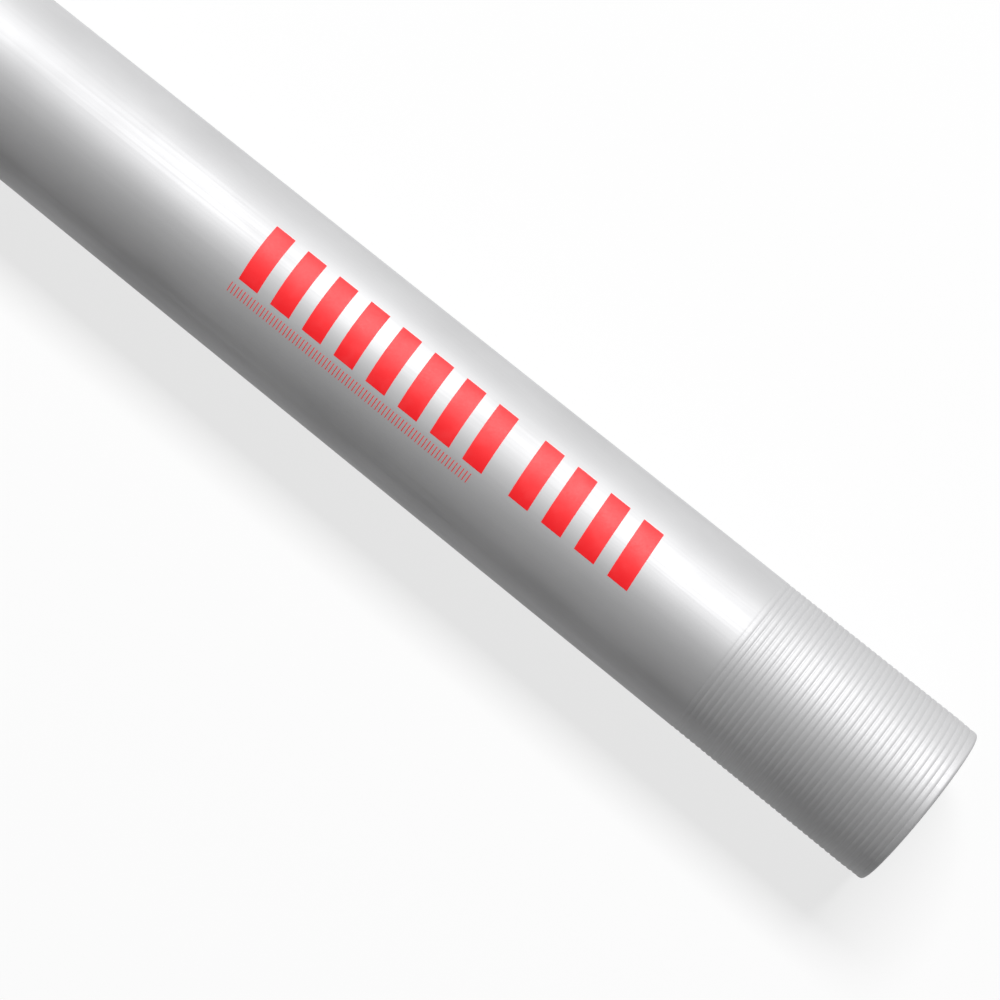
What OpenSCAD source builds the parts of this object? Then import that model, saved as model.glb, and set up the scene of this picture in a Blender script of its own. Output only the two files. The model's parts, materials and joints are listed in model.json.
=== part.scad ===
// Intermediate metal conduit: one straight, round steel tube with an outside thread at both ends.
// It lies along X on the plane Z = 0, as it would on a floor, with the middle of its length at X = 0.
// It is turned from one outline, so the thread is drawn as rings, one for each turn.

/* [Tube] */
// Length from end face to end face, as it is sold, without its coupling
tube_length = 3022.6; // [600:0.2:6100]
// Outside diameter
outside_d = 59.94; // [50:0.01:90]
// Wall thickness
wall = 2.67; // [2.4:0.01:5]

/* [Ends] */
// Radius that softens the outer edge of each end
lip_round = 1.2; // [0.3:0.05:1.3]
// How far the inner edge of each end is reamed back, so that it can't cut a wire
ream = 0.7; // [0.2:0.05:0.9]
// Smooth band between the end face and the first turn of the thread
lead_band = 2; // [1.4:0.1:12]

/* [Thread] */
// Turns to the inch
turns_per_inch = 11.5; // [8:0.5:14]
// Turns at each end
turns = 35; // [6:1:60]
// Depth of a whole groove below its crests
thread_depth = 0.3; // [0.1:0.01:1]
// Flat left on each crest
crest_flat = 0.6; // [0.1:0.01:0.8]
// Flat at the bottom of each groove
root_flat = 0.5; // [0.1:0.01:0.8]
// Turns over which the thread fades out into the smooth tube
fade_turns = 2; // [0:1:5]
// Length at each end over which the crests taper, as on a pipe thread
taper_length = 8.6; // [0:0.1:30]
// Taper there, as the loss of diameter for each unit of length (1 in 16)
taper = 0.0625; // [0:0.0025:0.07]

/* [Hidden] */
inch = 25.4;
outside_r = outside_d / 2;
bore_r = outside_r - wall;
half_length = tube_length / 2;
pitch = inch / turns_per_inch;
flank = (pitch - crest_flat - root_flat) / 2;
// Sides of the round tube, and steps of the quarter circle on each outer edge
round_sides = 128;
lip_steps = 6;

// Radius of the tube or of a crest at a distance from the end face
function crest_r(from_end) = outside_r - max(0, taper_length - from_end) * taper / 2;

// Depth of one groove, counted from the end face: the last few grow shallower
function groove_depth(turn) = thread_depth * min(1, (turns - turn) / (fade_turns + 1));

// Rounded outer edge of the end, from the end face to the side, as [radius, distance from the end face]
function lip() = [
    for (step = [0 : lip_steps])
        let (angle = 90 * step / lip_steps)
        [
            crest_r(lip_round) - lip_round * (1 - sin(angle)),
            lip_round * (1 - cos(angle))
        ]
];

// One groove as a flank, a flat bottom and a flank
function groove(turn) =
    let (start = lead_band + turn * pitch)
    let (low = start + flank)
    let (high = low + root_flat)
    let (end = high + flank)
    let (depth = groove_depth(turn))
    [
        [crest_r(start), start],
        [crest_r(low) - depth, low],
        [crest_r(high) - depth, high],
        [crest_r(end), end]
    ];

// Outside of one end, from the reamed inner edge to the last turn of the thread
function end_outline() = concat(
    [[bore_r, ream], [bore_r + ream, 0]],
    lip(),
    [for (turn = [0 : turns - 1]) each groove(turn)]
);

// The end's outline set at the lower and at the upper end of the upright tube
function lower_end() = [for (point = end_outline()) [point[0], point[1] - half_length]];
function upper_end() =
    let (outline = end_outline())
    let (last = len(outline) - 1)
    [for (i = [0 : last]) [outline[last - i][0], half_length - outline[last - i][1]]];

module conduit() {
    color("silver")
        translate([0, 0, outside_r])
            rotate([0, 90, 0])
                rotate_extrude($fn = round_sides)
                    polygon(concat(lower_end(), upper_end()));
}

conduit();
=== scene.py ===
"""One length of intermediate metal conduit: the looks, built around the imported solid.

The tube lies along X on the floor. Everything here is in metres, in the frame of the solid.
"""

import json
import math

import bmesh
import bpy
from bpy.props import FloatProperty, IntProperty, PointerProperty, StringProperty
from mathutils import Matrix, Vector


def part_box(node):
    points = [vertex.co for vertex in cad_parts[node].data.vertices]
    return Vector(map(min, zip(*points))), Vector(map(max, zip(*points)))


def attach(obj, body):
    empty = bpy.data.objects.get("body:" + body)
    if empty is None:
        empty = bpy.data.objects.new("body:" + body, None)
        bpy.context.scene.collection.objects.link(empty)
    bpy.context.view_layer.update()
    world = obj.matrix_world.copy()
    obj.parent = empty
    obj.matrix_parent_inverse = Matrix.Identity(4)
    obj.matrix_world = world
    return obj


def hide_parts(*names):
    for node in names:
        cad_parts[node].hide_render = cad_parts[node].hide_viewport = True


bl_info = {
    "name": "Intermediate metal conduit",
    "version": (1, 0, 0),
    "blender": (4, 5, 0),
    "location": "View3D > Sidebar > Conduit",
    "description": "Builds a threaded steel conduit tube, its printed marking and a plain studio",
    "category": "Add Mesh",
}

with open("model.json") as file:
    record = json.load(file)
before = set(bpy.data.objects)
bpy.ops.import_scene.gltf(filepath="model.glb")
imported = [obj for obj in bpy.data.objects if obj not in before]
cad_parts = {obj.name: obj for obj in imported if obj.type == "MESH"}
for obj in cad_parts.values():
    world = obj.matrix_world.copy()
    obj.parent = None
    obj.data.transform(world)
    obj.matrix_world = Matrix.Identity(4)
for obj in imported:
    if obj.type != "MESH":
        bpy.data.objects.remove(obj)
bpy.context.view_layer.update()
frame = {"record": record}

MM = 0.001
INCH = 25.4 * MM

# The solid's own sizes: its box, and the dimensions that its mounts state
LOW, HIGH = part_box("conduit")
MOUNTS = {mount["name"]: mount for mount in frame["record"]["mounts"]}
TUBE_LENGTH = HIGH.x - LOW.x
OUTSIDE_R = (HIGH.z - LOW.z) / 2
BORE_R = MOUNTS["raceway"]["dims"]["r_mm"] * MM
REAM = (TUBE_LENGTH - MOUNTS["raceway"]["dims"]["length_mm"] * MM) / 2
THREAD_LENGTH = (TUBE_LENGTH - MOUNTS["tube_outside"]["dims"]["length_mm"] * MM) / 2
END_X = TUBE_LENGTH / 2
AXIS = Vector((0, 0, OUTSIDE_R))

# Bars of the printed marking, and how much of the tube's round each step of a printed shape covers
FIRST_BARS = 8
SECOND_BARS = 4
PRINT_STEP = math.radians(1.5)

# Length over which the body steps down to make room for the ink
STEP_DOWN = 1 * MM
# Points nearer to each other than this are one, and edges sharper than this stay sharp
SAME_POINT = 0.002 * MM
SHARP_EDGE = math.radians(35)

# The sheet under the tube: how far it lies flat, and the radius and top of its swept-up edge, in metres
FLOOR_REACH = 12
SWEEP = 2
SWEEP_STEPS = 9
WALL_TOP = 3.6
FLOOR_SIDES = 96

# Width of the camera's sensor, in millimetres
SENSOR_WIDTH = 36

# Noise keeps near its middle, so this part of it is spread out to the whole range
NOISE_MIDDLE = {"From Min": 0.3, "From Max": 0.7}


# Settings


class ConduitTubeSettings(bpy.types.PropertyGroup):
    """Sizes of the tube and of its ends that its box and mounts don't give"""

    sides: IntProperty(
        name="Sides",
        description="Flat sides that stand for the round of the tube",
        default=96,
        min=24,
    )
    body_rings: IntProperty(
        name="Rings along the body",
        description="Rings between the two threads, so that no face is very long",
        default=30,
        min=1,
    )
    lip_round: FloatProperty(
        name="Lip radius",
        description="Radius that softens the outer edge of each end",
        default=1.2 * MM,
        subtype="DISTANCE",
        unit="LENGTH",
    )
    lip_steps: IntProperty(
        name="Lip steps",
        description="Steps of the quarter circle on each outer edge",
        default=8,
        min=2,
    )
    lead_band: FloatProperty(
        name="Lead band",
        description="Smooth band between the end face and the first turn of the thread",
        default=2 * MM,
        subtype="DISTANCE",
        unit="LENGTH",
    )
    taper_length: FloatProperty(
        name="Taper length",
        description="Length at each end over which the crests taper",
        default=8.6 * MM,
        subtype="DISTANCE",
        unit="LENGTH",
    )
    taper: FloatProperty(
        name="Taper",
        description="Loss of diameter there for each unit of length",
        default=1 / 16,
    )


class ConduitThreadSettings(bpy.types.PropertyGroup):
    """Form of the thread"""

    turns_per_inch: FloatProperty(
        name="Turns to the inch",
        description="Turns of the thread in one inch of tube",
        default=11.5,
        min=4,
    )
    depth: FloatProperty(
        name="Depth",
        description="Depth of a whole groove below its crests",
        default=0.2 * MM,
        subtype="DISTANCE",
        unit="LENGTH",
    )
    crest_flat: FloatProperty(
        name="Crest flat",
        description="Flat left on each crest",
        default=0.8 * MM,
        subtype="DISTANCE",
        unit="LENGTH",
    )
    root_flat: FloatProperty(
        name="Root flat",
        description="Flat at the bottom of each groove",
        default=0.1 * MM,
        subtype="DISTANCE",
        unit="LENGTH",
    )
    flank_steps: IntProperty(
        name="Flank steps",
        description="Steps across each flank of a groove",
        default=4,
        min=1,
    )
    fade_turns: FloatProperty(
        name="Fading turns",
        description="Turns over which the thread fades out into the smooth tube",
        default=1.0,
        min=0.1,
    )
    start_turns: FloatProperty(
        name="Starting turns",
        description="Turns over which the thread reaches its depth at the lead band",
        default=0.25,
        min=0.1,
    )
    turned: FloatProperty(
        name="Turned",
        description="How far the whole thread is turned about the tube, in turns",
        default=0.5,
        min=0,
        max=1,
    )


class ConduitMarkingSettings(bpy.types.PropertyGroup):
    """Sizes and place of the printed shapes, measured along the tube and around it"""

    from_thread: FloatProperty(
        name="Distance from the thread",
        description="Smooth tube between the marking and the thread",
        default=37 * MM,
        subtype="DISTANCE",
        unit="LENGTH",
    )
    bar: FloatProperty(
        name="Bar",
        description="Width of each bar along the tube",
        default=8 * MM,
        subtype="DISTANCE",
        unit="LENGTH",
    )
    gap: FloatProperty(
        name="Gap",
        description="Gap between two bars",
        default=5.5 * MM,
        subtype="DISTANCE",
        unit="LENGTH",
    )
    group_gap: FloatProperty(
        name="Gap between groups",
        description="Gap between the first group of bars and the second",
        default=11 * MM,
        subtype="DISTANCE",
        unit="LENGTH",
    )
    lean: FloatProperty(
        name="Lean",
        description="How far the far end of a bar leans towards the thread from its near end",
        default=-2.3 * MM,
        subtype="DISTANCE",
        unit="LENGTH",
    )
    height: FloatProperty(
        name="Height",
        description="Height of the bars around the tube",
        default=22.3 * MM,
        subtype="DISTANCE",
        unit="LENGTH",
    )
    turn: FloatProperty(
        name="Turn",
        description="How far the middle of the bars is turned from the top towards the front",
        default=math.radians(-1.7),
        subtype="ANGLE",
    )
    tick_gap: FloatProperty(
        name="Gap above the ticks",
        description="Gap between the first group of bars and the row of ticks",
        default=2 * MM,
        subtype="DISTANCE",
        unit="LENGTH",
    )
    tick_height: FloatProperty(
        name="Tick height",
        description="Height of the small ticks in the row under the first group",
        default=3.6 * MM,
        subtype="DISTANCE",
        unit="LENGTH",
    )
    tick: FloatProperty(
        name="Tick",
        description="Width of each tick",
        default=0.3 * MM,
        subtype="DISTANCE",
        unit="LENGTH",
    )
    tick_step: FloatProperty(
        name="Tick step",
        description="From one tick to the next",
        default=1.4 * MM,
        subtype="DISTANCE",
        unit="LENGTH",
    )
    film: FloatProperty(
        name="Film",
        description="Thickness of the dried ink",
        default=0.02 * MM,
        subtype="DISTANCE",
        unit="LENGTH",
    )
    ink: StringProperty(name="Ink", description="Colour of the ink", default="#EC0F19")


class ConduitFinishSettings(bpy.types.PropertyGroup):
    """Colours and sheen of the zinc coating"""

    zinc: StringProperty(name="Zinc", description="Colour of the coating", default="#C2C2C3")
    zinc_dull: StringProperty(
        name="Dull zinc", description="Colour of the coating's duller patches", default="#BABABB"
    )
    metallic: FloatProperty(
        name="Metallic",
        description="How much of the light the coating reflects as bare metal does",
        default=0.45,
        min=0,
        max=1,
        subtype="FACTOR",
    )
    roughness: FloatProperty(
        name="Roughness",
        description="Roughness of the coating",
        default=0.63,
        min=0,
        max=1,
        subtype="FACTOR",
    )


class ConduitStageSettings(bpy.types.PropertyGroup):
    """Camera, floor and light"""

    azimuth: FloatProperty(
        name="Azimuth",
        description="Turn of the camera about the vertical, from the view along +Y",
        default=math.radians(39.57),
        subtype="ANGLE",
    )
    elevation: FloatProperty(
        name="Elevation",
        description="Angle of the camera above the floor",
        default=math.radians(77.36),
        subtype="ANGLE",
    )
    distance: FloatProperty(
        name="Distance",
        description="Distance of the camera from what it looks at",
        default=0.728,
        subtype="DISTANCE",
        unit="LENGTH",
    )
    aim_from_end: FloatProperty(
        name="Aim from the end",
        description="How far inside the end face the camera looks",
        default=168.1 * MM,
        subtype="DISTANCE",
        unit="LENGTH",
    )
    aim_aside: FloatProperty(
        name="Aim aside",
        description="How far beside the tube's axis the camera looks",
        default=-7.9 * MM,
        subtype="DISTANCE",
        unit="LENGTH",
    )
    lens: FloatProperty(
        name="Lens",
        description="Focal length in millimetres on a sensor 36 mm wide",
        default=79.2,
        min=10,
        subtype="DISTANCE_CAMERA",
        unit="CAMERA",
    )
    light_power: FloatProperty(
        name="Light",
        description="Power of the softbox in watts",
        default=320,
        subtype="POWER",
        unit="POWER",
    )
    light_lean: FloatProperty(
        name="Lean of the light",
        description="How far the softbox leans back from straight above the tube",
        default=math.radians(31),
        subtype="ANGLE",
    )
    light_tilt: FloatProperty(
        name="Tilt of the light",
        description="How far the softbox stands back from the end in view, so that the thread shows",
        default=math.radians(7),
        subtype="ANGLE",
    )
    light_distance: FloatProperty(
        name="Distance of the light",
        description="From the middle of the picture to the middle of the softbox",
        default=4.5,
        subtype="DISTANCE",
        unit="LENGTH",
    )
    light_width: FloatProperty(
        name="Width of the light",
        description="Width of the softbox across the tube",
        default=1.2,
        subtype="DISTANCE",
        unit="LENGTH",
    )
    light_length: FloatProperty(
        name="Length of the light",
        description="Length of the softbox along the tube",
        default=3.0,
        subtype="DISTANCE",
        unit="LENGTH",
    )
    fill: FloatProperty(name="Fill", description="Even light from all round", default=0.03)
    floor: StringProperty(
        name="Floor",
        description="Colour of the floor's own paper, which also sets how deep the tube's shadow is",
        default="#737373",
    )
    floor_glow: FloatProperty(
        name="Floor glow",
        description="Brightness added to the floor where it is seen, also in the metal",
        default=0.76,
    )


# Materials


def linear(code):
    """Linear RGBA of an sRGB hex colour"""
    parts = [int(code[i : i + 2], 16) / 255 for i in (1, 3, 5)]
    return [p / 12.92 if p <= 0.04045 else ((p + 0.055) / 1.055) ** 2.4 for p in parts] + [1.0]


def add_node(tree, kind, sockets=None, **settings):
    """Add a node with these settings, and link or set each of these sockets"""
    node = tree.nodes.new(kind)
    for name, value in settings.items():
        setattr(node, name, value)
    for socket, value in (sockets or {}).items():
        if isinstance(value, bpy.types.NodeSocket):
            tree.links.new(value, node.inputs[socket])
        else:
            node.inputs[socket].default_value = value
    return node


def new_material(name):
    """A material with an empty node tree"""
    material = bpy.data.materials.new(name)
    material.use_nodes = True
    material.node_tree.nodes.clear()
    return material


def zinc_coated_steel(finish):
    """Steel strip rolled and welded into a tube, dipped in zinc and sealed with a thin clear film.

    The zinc's fine crystals and the film scatter about half of the light, so the tube has a wide satin
    highlight and a pale neutral grey, a little duller in broad clouds. The rollers leave faint straight
    lines along it, seen as slight changes of sheen and height.
    """
    cloud_sheen = 0.025
    line_sheen = 0.035
    line_height = 0.005 * MM
    crystal_height = 0.002 * MM
    material = new_material("zinc coated steel")
    tree = material.node_tree
    place = add_node(tree, "ShaderNodeTexCoord").outputs["Object"]
    # Length along the tube and width across it of each pattern's features. The real roller lines are about
    # 0.1 mm wide and the zinc's crystals finer still, so both are drawn coarse enough to show.
    patterns = {}
    for name, along, across, detail in (
        ("clouds", 47 * MM, 26 * MM, 3),
        ("lines", 98 * MM, 0.7 * MM, 2),
        ("crystals", 0.5 * MM, 0.35 * MM, 2),
    ):
        scaled = add_node(
            tree, "ShaderNodeMapping", {"Vector": place, "Scale": (1 / along, 1 / across, 1 / across)}
        )
        patterns[name] = add_node(
            tree, "ShaderNodeTexNoise", {"Vector": scaled.outputs["Vector"], "Scale": 1, "Detail": detail}
        ).outputs["Fac"]
    cloudy = add_node(
        tree, "ShaderNodeMapRange", {"Value": patterns["clouds"], **NOISE_MIDDLE}
    ).outputs["Result"]
    colour = add_node(
        tree,
        "ShaderNodeMix",
        {"Factor": cloudy, "A": linear(finish.zinc_dull), "B": linear(finish.zinc)},
        data_type="RGBA",
    )
    # Roughness of the coating: higher in the dull clouds, and up or down in the roller lines
    cloud_roughness = add_node(
        tree,
        "ShaderNodeMapRange",
        {
            "Value": cloudy,
            "To Min": finish.roughness + cloud_sheen,
            "To Max": finish.roughness - cloud_sheen,
        },
    )
    line_roughness = add_node(
        tree,
        "ShaderNodeMapRange",
        {"Value": patterns["lines"], **NOISE_MIDDLE, "To Min": -line_sheen, "To Max": line_sheen},
    )
    roughness = add_node(
        tree,
        "ShaderNodeMath",
        {0: cloud_roughness.outputs["Result"], 1: line_roughness.outputs["Result"]},
        operation="ADD",
    )
    line_bump = add_node(tree, "ShaderNodeBump", {"Height": patterns["lines"], "Distance": line_height})
    crystal_bump = add_node(
        tree,
        "ShaderNodeBump",
        {
            "Height": patterns["crystals"],
            "Distance": crystal_height,
            "Normal": line_bump.outputs["Normal"],
        },
    )
    shader = add_node(
        tree,
        "ShaderNodeBsdfPrincipled",
        {
            "Base Color": colour.outputs["Result"],
            "Metallic": finish.metallic,
            "Roughness": roughness.outputs["Value"],
            "Normal": crystal_bump.outputs["Normal"],
        },
    )
    add_node(tree, "ShaderNodeOutputMaterial", {"Surface": shader.outputs["BSDF"]})
    return material


def red_marking_ink(marking):
    """Solvent ink rolled on to the tube in one pass.

    It dries as a thin half-gloss film, a little thinner and paler in patches where the roller carried less.
    """
    patch_width = 6 * MM
    # The dried film's grain is finer, and is drawn this coarse so that it shows
    grain_width = 0.4 * MM
    grain_height = 0.004 * MM
    # How far towards white the thinnest ink goes, and the roughness at the grain's two extremes
    paler = 0.02
    smoothest, roughest = 0.5, 0.6
    material = new_material("red marking ink")
    tree = material.node_tree
    place = add_node(tree, "ShaderNodeTexCoord").outputs["Object"]
    patches = add_node(tree, "ShaderNodeTexNoise", {"Vector": place, "Scale": 1 / patch_width, "Detail": 4})
    grain = add_node(tree, "ShaderNodeTexNoise", {"Vector": place, "Scale": 1 / grain_width, "Detail": 2})
    # About half of the ink is thin, and little of it at its thinnest, which this part of the noise gives
    thin = add_node(
        tree, "ShaderNodeMapRange", {"Value": patches.outputs["Fac"], "From Min": 0.45, "From Max": 0.8}
    )
    deep = linear(marking.ink)
    pale = [channel + paler * (1 - channel) for channel in deep]
    colour = add_node(
        tree, "ShaderNodeMix", {"Factor": thin.outputs["Result"], "A": deep, "B": pale}, data_type="RGBA"
    )
    roughness = add_node(
        tree,
        "ShaderNodeMapRange",
        {"Value": grain.outputs["Fac"], **NOISE_MIDDLE, "To Min": smoothest, "To Max": roughest},
    )
    bump = add_node(tree, "ShaderNodeBump", {"Height": grain.outputs["Fac"], "Distance": grain_height})
    shader = add_node(
        tree,
        "ShaderNodeBsdfPrincipled",
        {
            "Base Color": colour.outputs["Result"],
            "Roughness": roughness.outputs["Result"],
            "Normal": bump.outputs["Normal"],
        },
    )
    add_node(tree, "ShaderNodeOutputMaterial", {"Surface": shader.outputs["BSDF"]})
    return material


def studio_floor(stage):
    """Plain matt paper, swept up at its far edge.

    It scatters the light and keeps the tube's soft shadow. It also glows where it is seen, by itself or in
    the metal, which brings it to white with no more light on the tube.
    """
    material = new_material("matt paper")
    tree = material.node_tree
    lit = add_node(tree, "ShaderNodeBsdfDiffuse", {"Color": linear(stage.floor)})
    ray = add_node(tree, "ShaderNodeLightPath").outputs
    seen = ray["Is Camera Ray"]
    for kind in ("Is Glossy Ray", "Is Transmission Ray"):
        either = add_node(tree, "ShaderNodeMath", {0: seen, 1: ray[kind]}, operation="MAXIMUM")
        seen = either.outputs["Value"]
    strength = add_node(tree, "ShaderNodeMath", {0: seen, 1: stage.floor_glow}, operation="MULTIPLY")
    glow = add_node(tree, "ShaderNodeEmission", {"Strength": strength.outputs["Value"]})
    both = add_node(tree, "ShaderNodeAddShader", {0: lit.outputs["BSDF"], 1: glow.outputs["Emission"]})
    add_node(tree, "ShaderNodeOutputMaterial", {"Surface": both.outputs["Shader"]})
    return material


def studio_world(stage):
    """A dim even light from all round"""
    world = bpy.data.worlds.new("studio")
    world.use_nodes = True
    tree = world.node_tree
    tree.nodes.clear()
    sky = add_node(tree, "ShaderNodeBackground", {"Color": linear("#FFFFFF"), "Strength": stage.fill})
    add_node(tree, "ShaderNodeOutputWorld", {"Surface": sky.outputs["Background"]})
    return world


# Meshes


def put_in_scene(name, mesh):
    """A new object with this mesh, in the scene"""
    piece = bpy.data.objects.new(name, mesh)
    bpy.context.scene.collection.objects.link(piece)
    return piece


def round_piece(name, mesh):
    """A piece in the scene from this closed mesh, smooth apart from its sharp edges"""
    bmesh.ops.recalc_face_normals(mesh, faces=mesh.faces)
    for face in mesh.faces:
        face.smooth = True
    data = bpy.data.meshes.new(name)
    mesh.to_mesh(data)
    mesh.free()
    data.set_sharp_from_angle(angle=SHARP_EDGE)
    return put_in_scene(name, data)


def join_rings(mesh, rings):
    """Join each closed ring of points to the next with faces"""
    for here, there in zip(rings, rings[1:]):
        for side in range(len(here)):
            after = (side + 1) % len(here)
            mesh.faces.new((here[side], there[side], there[after], here[after]))


def around(x, radius, angle):
    """The point at this place along the tube, distance from its axis and turn from +Y over the top"""
    return AXIS + Vector((x, radius * math.cos(angle), radius * math.sin(angle)))


def crest_radius(tube, x):
    """Radius of the tube's surface, or of a crest, at this place near the +X end"""
    return OUTSIDE_R - max(0, tube.taper_length - (END_X - x)) * tube.taper / 2


def groove_profile(thread):
    """One turn of the thread in section: pairs of a share of the pitch and a share of the depth"""
    pitch = INCH / thread.turns_per_inch
    crest = thread.crest_flat / pitch
    root = thread.root_flat / pitch
    flank = (1 - crest - root) / 2
    steps = thread.flank_steps
    rising = [step / steps for step in range(steps + 1)]
    down = [(crest + flank * s, (1 - math.cos(math.pi * s)) / 2) for s in rising]
    up = [(crest + flank + root + flank * s, (1 + math.cos(math.pi * s)) / 2) for s in rising]
    return down + up[:-1] + [(1.0, 0.0)]


def thread_grid(mesh, tube, thread):
    """Wind the thread of the +X end: each row of points follows the helix, cut off square at both ends"""
    pitch = INCH / thread.turns_per_inch
    first, last = END_X - THREAD_LENGTH, END_X - tube.lead_band
    profile = groove_profile(thread)[1:]
    rows_a_turn = len(profile)
    # The grid starts two turns early and goes on past the last turn, and what lies outside is cut off
    early = 2
    rows = math.ceil((last - first) / pitch + early) * rows_a_turn

    def point(row, side):
        turn, sample = divmod(row, rows_a_turn)
        share, sunk = profile[sample]
        x = first + pitch * (turn + share + side / tube.sides + thread.turned - early)
        x = min(max(x, first), last)
        fade = min(1, (x - first) / (thread.fade_turns * pitch), (last - x) / (thread.start_turns * pitch))
        radius = crest_radius(tube, x) - thread.depth * sunk * fade
        return around(x, radius, math.tau * side / tube.sides)

    grid = [[mesh.verts.new(point(row, side)) for side in range(tube.sides)] for row in range(rows + 1)]
    for row in range(rows):
        here, there = grid[row], grid[row + 1]
        for side in range(tube.sides - 1):
            mesh.faces.new((here[side], there[side], there[side + 1], here[side + 1]))
        # The last side meets the first one turn further on
        low = min(row + rows_a_turn, rows)
        high = min(row + rows_a_turn + 1, rows)
        if high > low:
            mesh.faces.new((here[-1], there[-1], grid[high][0], grid[low][0]))


def revolve(mesh, sides, outline):
    """Turn an outline, a list of (x, radius), about the tube's axis"""
    angles = [math.tau * side / sides for side in range(sides)]
    join_rings(mesh, [[mesh.verts.new(around(x, radius, a)) for a in angles] for x, radius in outline])


def end_outline(tube):
    """From the thread's outer end round the lip and the reamed edge to the start of the bore"""
    lip_centre = crest_radius(tube, END_X - tube.lip_round) - tube.lip_round
    band = [(END_X - tube.lead_band, crest_radius(tube, END_X - tube.lead_band))]
    lip = []
    for step in range(tube.lip_steps + 1):
        angle = math.pi / 2 * step / tube.lip_steps
        lip.append(
            (
                END_X - tube.lip_round * (1 - math.sin(angle)),
                lip_centre + tube.lip_round * math.cos(angle),
            )
        )
    return band + lip + [(END_X, BORE_R + REAM), (END_X - REAM, BORE_R)]


def build_tube(tube, thread, film):
    """One closed mesh: the bore, both threaded ends, and the body, lower by the film of ink"""
    mesh = bmesh.new()
    thread_grid(mesh, tube, thread)
    revolve(mesh, tube.sides, end_outline(tube))
    half_turn = Matrix.Rotation(math.pi, 4, "Z")
    copy = bmesh.ops.duplicate(mesh, geom=mesh.verts[:] + mesh.faces[:])
    other_end = [part for part in copy["geom"] if isinstance(part, bmesh.types.BMVert)]
    bmesh.ops.transform(mesh, matrix=half_turn, verts=other_end)
    smooth = END_X - THREAD_LENGTH
    bore = END_X - REAM
    shares = [2 * ring / tube.body_rings - 1 for ring in range(tube.body_rings + 1)]
    body = [((smooth - STEP_DOWN) * share, OUTSIDE_R - film) for share in shares]
    revolve(mesh, tube.sides, [(-smooth, OUTSIDE_R), *body, (smooth, OUTSIDE_R)])
    revolve(mesh, tube.sides, [(-bore * share, BORE_R) for share in shares])
    bmesh.ops.remove_doubles(mesh, verts=mesh.verts, dist=SAME_POINT)
    return round_piece("conduit_tube", mesh)


def curved_patch(mesh, film, start, end, low, high, lean):
    """A printed shape between two places along the tube and two turns about it, leaning by this length.

    Its outer side is at the solid's surface. Its inner side is one film inside the body's surface.
    """
    steps = max(1, math.ceil(abs(high - low) / PRINT_STEP))
    rows = []
    for step in range(steps + 1):
        share = step / steps
        shift = lean * (0.5 - share)
        angle = low + (high - low) * share
        rows.append(
            [
                mesh.verts.new(around(x + shift, radius, angle))
                for radius in (OUTSIDE_R, OUTSIDE_R - 2 * film)
                for x in (start, end)
            ]
        )
    for here, there in zip(rows, rows[1:]):
        mesh.faces.new((here[0], here[1], there[1], there[0]))
        mesh.faces.new((here[2], there[2], there[3], here[3]))
        mesh.faces.new((here[0], there[0], there[2], here[2]))
        mesh.faces.new((here[1], here[3], there[3], there[1]))
    mesh.faces.new([rows[0][corner] for corner in (0, 2, 3, 1)])
    mesh.faces.new([rows[-1][corner] for corner in (1, 3, 2, 0)])


def build_marking(marking):
    """A group of plain bars, a smaller group after a gap, and a row of small ticks under the first"""
    mesh = bmesh.new()
    middle = math.pi / 2 + marking.turn
    half = marking.height / OUTSIDE_R / 2
    step = marking.bar + marking.gap
    length = (FIRST_BARS + SECOND_BARS) * step - 2 * marking.gap + marking.group_gap
    start = END_X - THREAD_LENGTH - marking.from_thread - length
    second = start + FIRST_BARS * step - marking.gap + marking.group_gap
    places = [start + count * step for count in range(FIRST_BARS)]
    places += [second + count * step for count in range(SECOND_BARS)]
    for x in places:
        curved_patch(mesh, marking.film, x, x + marking.bar, middle - half, middle + half, marking.lean)
    tick_low = middle + half + marking.tick_gap / OUTSIDE_R
    tick_high = tick_low + marking.tick_height / OUTSIDE_R
    for count in range(int((second - marking.group_gap - start) / marking.tick_step)):
        x = start + count * marking.tick_step
        curved_patch(mesh, marking.film, x, x + marking.tick, tick_low, tick_high, 0)
    return round_piece("printed_marking", mesh)


def build_floor():
    """A round sheet under the tube, swept up into a low wall all round"""
    mesh = bmesh.new()
    sweep = [math.pi / 2 * step / SWEEP_STEPS for step in range(SWEEP_STEPS + 1)]
    outline = [(FLOOR_REACH + SWEEP * math.sin(a), SWEEP * (1 - math.cos(a))) for a in sweep]
    outline.append((FLOOR_REACH + SWEEP, WALL_TOP))
    angles = [math.tau * side / FLOOR_SIDES for side in range(FLOOR_SIDES)]
    rings = []
    for radius, z in outline:
        rings.append([mesh.verts.new((radius * math.cos(a), radius * math.sin(a), z)) for a in angles])
    mesh.faces.new(rings[0])
    join_rings(mesh, rings)
    data = bpy.data.meshes.new("floor")
    mesh.to_mesh(data)
    mesh.free()
    return put_in_scene("floor", data)


def add_softbox(stage):
    """One softbox along the tube, which leans back from straight above it and faces it"""
    lamp = bpy.data.lights.new("softbox", "AREA")
    lamp.shape = "RECTANGLE"
    lamp.size = stage.light_length
    lamp.size_y = stage.light_width
    lamp.energy = stage.light_power
    box = put_in_scene("softbox", lamp)
    middle = AXIS + Vector((END_X - stage.aim_from_end, 0, 0))
    lean = Matrix.Rotation(-stage.light_lean, 4, "X")
    tilt = Matrix.Rotation(-stage.light_tilt, 4, "Y")
    away = Matrix.Translation((0, 0, stage.light_distance))
    box.matrix_world = Matrix.Translation(middle) @ lean @ tilt @ away
    box.visible_camera = False


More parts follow.
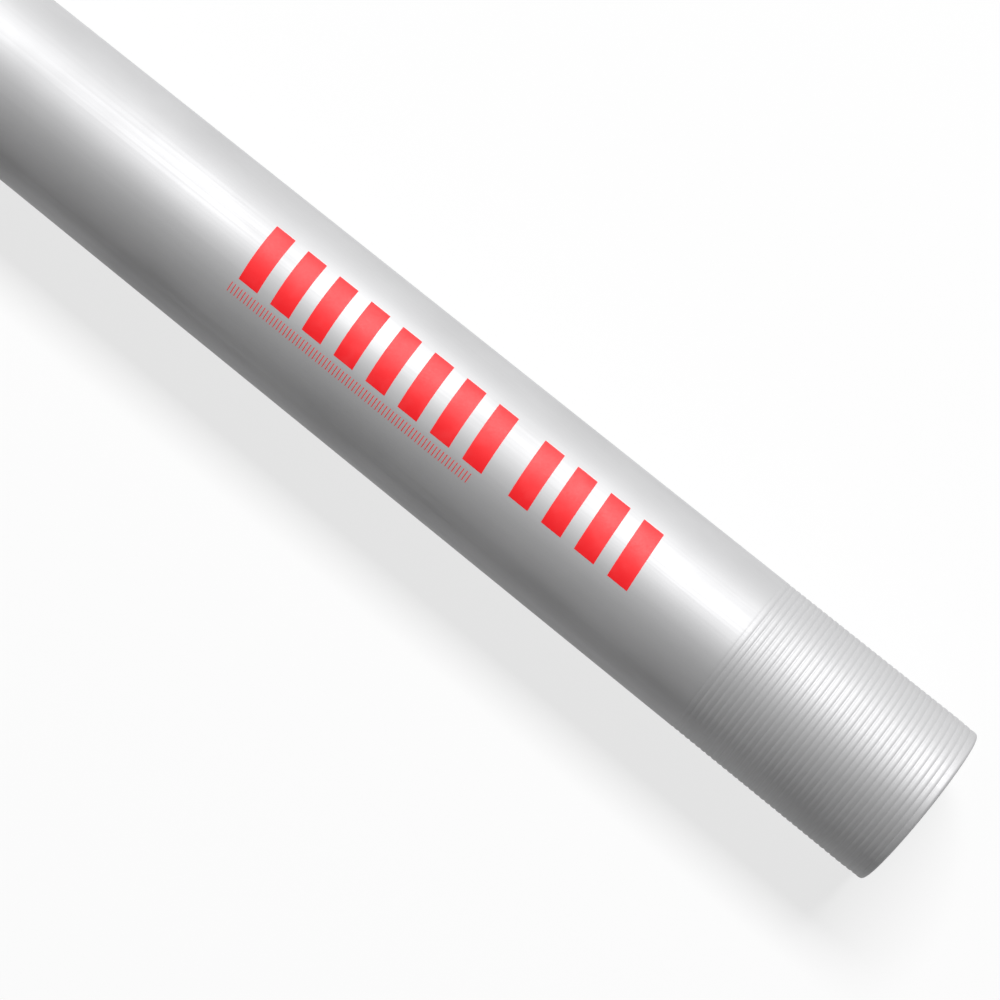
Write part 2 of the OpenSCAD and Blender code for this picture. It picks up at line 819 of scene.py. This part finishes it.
def add_camera(stage):
    """The camera above the +X end, looking down on the tube"""
    flat = math.cos(stage.elevation)
    back = Vector(
        (
            math.sin(stage.azimuth) * flat,
            -math.cos(stage.azimuth) * flat,
            math.sin(stage.elevation),
        )
    )
    right = Vector((math.cos(stage.azimuth), math.sin(stage.azimuth), 0))
    aim = AXIS + Vector((END_X - stage.aim_from_end, stage.aim_aside, 0))
    data = bpy.data.cameras.new("camera")
    data.lens = stage.lens
    data.sensor_width = SENSOR_WIDTH
    camera = put_in_scene("camera", data)
    camera.matrix_world = Matrix.Translation(aim + back * stage.distance) @ Matrix(
        (right, back.cross(right), back)
    ).transposed().to_4x4()
    bpy.context.scene.camera = camera


# Operators


class CONDUIT_OT_tube(bpy.types.Operator):
    """Build the steel tube with its bore and its two threaded ends"""

    bl_idname = "conduit.tube"
    bl_label = "Tube"

    def execute(self, context):
        scene = context.scene
        tube = build_tube(scene.conduit_tube, scene.conduit_thread, scene.conduit_marking.film)
        tube.data.materials.append(zinc_coated_steel(scene.conduit_finish))
        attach(tube, "root")
        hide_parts("conduit")
        return {"FINISHED"}


class CONDUIT_OT_marking(bpy.types.Operator):
    """Print the plain red shapes on the tube"""

    bl_idname = "conduit.marking"
    bl_label = "Marking"

    def execute(self, context):
        settings = context.scene.conduit_marking
        marking = build_marking(settings)
        marking.data.materials.append(red_marking_ink(settings))
        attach(marking, "root")
        return {"FINISHED"}


class CONDUIT_OT_stage(bpy.types.Operator):
    """Set the floor, the light and the camera"""

    bl_idname = "conduit.stage"
    bl_label = "Stage"

    def execute(self, context):
        scene = context.scene
        stage = scene.conduit_stage
        floor = build_floor()
        floor.data.materials.append(studio_floor(stage))
        scene.world = studio_world(stage)
        add_softbox(stage)
        scene.view_settings.view_transform = "Standard"
        add_camera(stage)
        return {"FINISHED"}


class CONDUIT_PT_panel(bpy.types.Panel):
    """Sizes, finishes and build steps of the conduit"""

    bl_label = "Conduit"
    bl_idname = "CONDUIT_PT_panel"
    bl_space_type = "VIEW_3D"
    bl_region_type = "UI"
    bl_category = "Conduit"

    def draw(self, context):
        for step, group in STEPS:
            box = self.layout.box()
            box.operator(step.bl_idname)
            for owner in group:
                settings = getattr(context.scene, owner)
                for name in settings.__annotations__:
                    box.prop(settings, name)


STEPS = (
    (CONDUIT_OT_tube, ("conduit_tube", "conduit_thread", "conduit_finish")),
    (CONDUIT_OT_marking, ("conduit_marking",)),
    (CONDUIT_OT_stage, ("conduit_stage",)),
)
GROUPS = {
    "conduit_tube": ConduitTubeSettings,
    "conduit_thread": ConduitThreadSettings,
    "conduit_marking": ConduitMarkingSettings,
    "conduit_finish": ConduitFinishSettings,
    "conduit_stage": ConduitStageSettings,
}
CLASSES = (*GROUPS.values(), *(step for step, group in STEPS), CONDUIT_PT_panel)


def register():
    for item in CLASSES:
        bpy.utils.register_class(item)
    for name, group in GROUPS.items():
        setattr(bpy.types.Scene, name, PointerProperty(type=group))


def unregister():
    for name in GROUPS:
        delattr(bpy.types.Scene, name)
    for item in reversed(CLASSES):
        bpy.utils.unregister_class(item)


def main():
    register()
    bpy.ops.conduit.tube()
    bpy.ops.conduit.marking()
    bpy.ops.conduit.stage()


if __name__ == "__main__":
    main()
